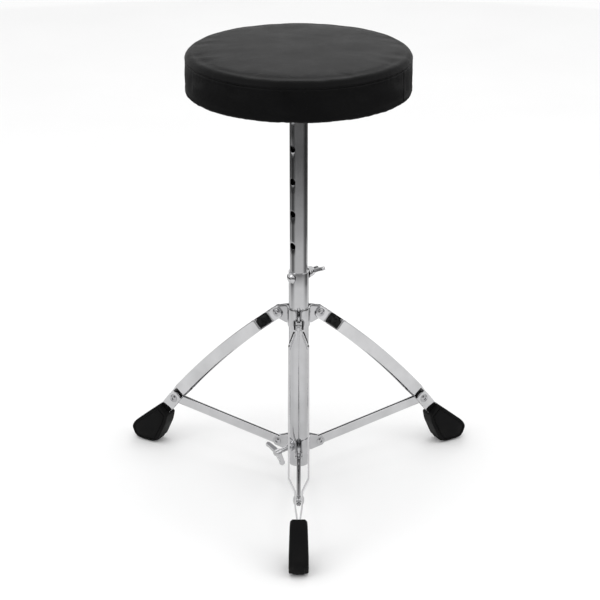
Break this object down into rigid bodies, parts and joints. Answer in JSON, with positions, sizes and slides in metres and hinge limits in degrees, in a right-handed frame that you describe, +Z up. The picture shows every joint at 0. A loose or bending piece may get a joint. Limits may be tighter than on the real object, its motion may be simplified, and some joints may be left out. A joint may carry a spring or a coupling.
{
  "type": "drum throne",
  "caption": "Folding drum throne: round padded seat on a height-adjustable post, carried by braced strip legs that fold with a sliding collar and stand on rubber feet.",
  "frame": {"origin": "on the floor, on the axis of the main tube, midway between the feet", "axes": "+Z up along the post; the front leg points along -Y, the other two legs are 120 degrees round from it"},
  "size_m": [0.4526, 0.3925, 0.5735],
  "materials": {
    "vinyl": "satin black vinyl",
    "foam": "open foam",
    "plywood": "raw plywood",
    "cloth": "non-woven dust cloth",
    "zinc": "zinc plated",
    "black_steel": "black paint",
    "plug": "moulded plastic",
    "foot_rubber": "moulded rubber",
    "chrome": "plated steel",
    "hardware_chrome": "plated casting",
    "rivet_steel": "plated rivet"
  },
  "bodies": {
    "stand_tube": {"main_tube": "chrome", "upper_collar_left": "chrome", "upper_collar_right": "chrome", "upper_collar_back": "chrome", "upper_pivot_pins": "rivet_steel"},
    "post": {"seat_post": "chrome", "post_top_plug": "plug"},
    "seat": {"seat_cover": "vinyl", "seat_foam": "foam", "seat_board": "plywood", "underside_cloth": "cloth", "cover_staples": "zinc", "tee_nuts": "zinc", "bracket_screws": "zinc", "bracket_plate": "black_steel", "bracket_socket": "black_steel", "seat_clamp_bolt": "zinc"},
    "height_bolt": {"height_bolt": "hardware_chrome"},
    "height_wing_nut": {"height_wing_nut": "hardware_chrome"},
    "strut_collar": {"lower_collar_left": "chrome", "lower_collar_right": "chrome", "lower_collar_back": "chrome", "strut_rivets": "rivet_steel", "clamp_boss": "hardware_chrome"},
    "clamp_wing_screw": {"clamp_wing_screw": "hardware_chrome"},
    "front_strut": {"front_strut": "chrome"},
    "left_strut": {"left_strut": "chrome"},
    "right_strut": {"right_strut": "chrome"},
    "front_leg": {"front_leg_left_strip": "chrome", "front_leg_right_strip": "chrome", "front_leg_upper_rivet": "rivet_steel", "front_leg_lower_rivet": "rivet_steel", "front_foot": "foot_rubber"},
    "left_leg": {"left_leg_front_strip": "chrome", "left_leg_back_strip": "chrome", "left_leg_upper_rivet": "rivet_steel", "left_leg_lower_rivet": "rivet_steel", "left_foot": "foot_rubber"},
    "right_leg": {"right_leg_front_strip": "chrome", "right_leg_back_strip": "chrome", "right_leg_upper_rivet": "rivet_steel", "right_leg_lower_rivet": "rivet_steel", "right_foot": "foot_rubber"}
  },
  "joints": [
    {"name": "post_slide", "type": "slide", "parent": "stand_tube", "child": "post", "axis": [0, 0, 1], "range_m": [-0.21, 0.042]},
    {"name": "seat_swivel", "type": "hinge", "parent": "post", "child": "seat", "pos_m": [0, 0, 0.51], "axis": [0, 0, 1], "continuous": true},
    {"name": "height_bolt_pull", "type": "slide", "parent": "stand_tube", "child": "height_bolt", "axis": [-0.7071, -0.7071, 0], "range_m": [0, 0.05]},
    {"name": "wing_nut_turn", "type": "hinge", "parent": "stand_tube", "child": "height_wing_nut", "pos_m": [0.01414, 0.01414, 0.2845], "axis": [0.7071, 0.7071, 0], "continuous": true},
    {"name": "fold_slide", "type": "slide", "parent": "stand_tube", "child": "strut_collar", "axis": [0, 0, 1], "range_m": [0, 0.11739]},
    {"name": "clamp_screw_turn", "type": "hinge", "parent": "strut_collar", "child": "clamp_wing_screw", "pos_m": [-0.01414, -0.01414, 0.051], "axis": [-0.7071, -0.7071, 0], "continuous": true},
    {"name": "front_strut_pivot", "type": "hinge", "parent": "strut_collar", "child": "front_strut", "pos_m": [0, -0.0301, 0.048], "axis": [1, 0, 0], "range_deg": [0, 94.62]},
    {"name": "front_leg_pivot", "type": "hinge", "parent": "front_strut", "child": "front_leg", "pos_m": [0, -0.1903, 0.071], "axis": [1, 0, 0], "range_deg": [-52.11, 0]},
    {"name": "left_strut_pivot", "type": "hinge", "parent": "strut_collar", "child": "left_strut", "pos_m": [-0.02607, 0.01505, 0.048], "axis": [-0.5, -0.866, 0], "range_deg": [0, 94.62]},
    {"name": "left_leg_pivot", "type": "hinge", "parent": "left_strut", "child": "left_leg", "pos_m": [-0.16481, 0.09515, 0.071], "axis": [-0.5, -0.866, 0], "range_deg": [-52.11, 0]},
    {"name": "right_strut_pivot", "type": "hinge", "parent": "strut_collar", "child": "right_strut", "pos_m": [0.02607, 0.01505, 0.048], "axis": [-0.5, 0.866, 0], "range_deg": [0, 94.62]},
    {"name": "right_leg_pivot", "type": "hinge", "parent": "right_strut", "child": "right_leg", "pos_m": [0.16481, 0.09515, 0.071], "axis": [-0.5, 0.866, 0], "range_deg": [-52.11, 0]}
  ],
  "couplings": [
    {"joint": "front_strut_pivot", "follows": "fold_slide", "rad_per_m": 14.067},
    {"joint": "front_leg_pivot", "follows": "fold_slide", "rad_per_m": -7.7481},
    {"joint": "left_strut_pivot", "follows": "fold_slide", "rad_per_m": 14.067},
    {"joint": "left_leg_pivot", "follows": "fold_slide", "rad_per_m": -7.7481},
    {"joint": "right_strut_pivot", "follows": "fold_slide", "rad_per_m": 14.067},
    {"joint": "right_leg_pivot", "follows": "fold_slide", "rad_per_m": -7.7481}
  ]
}
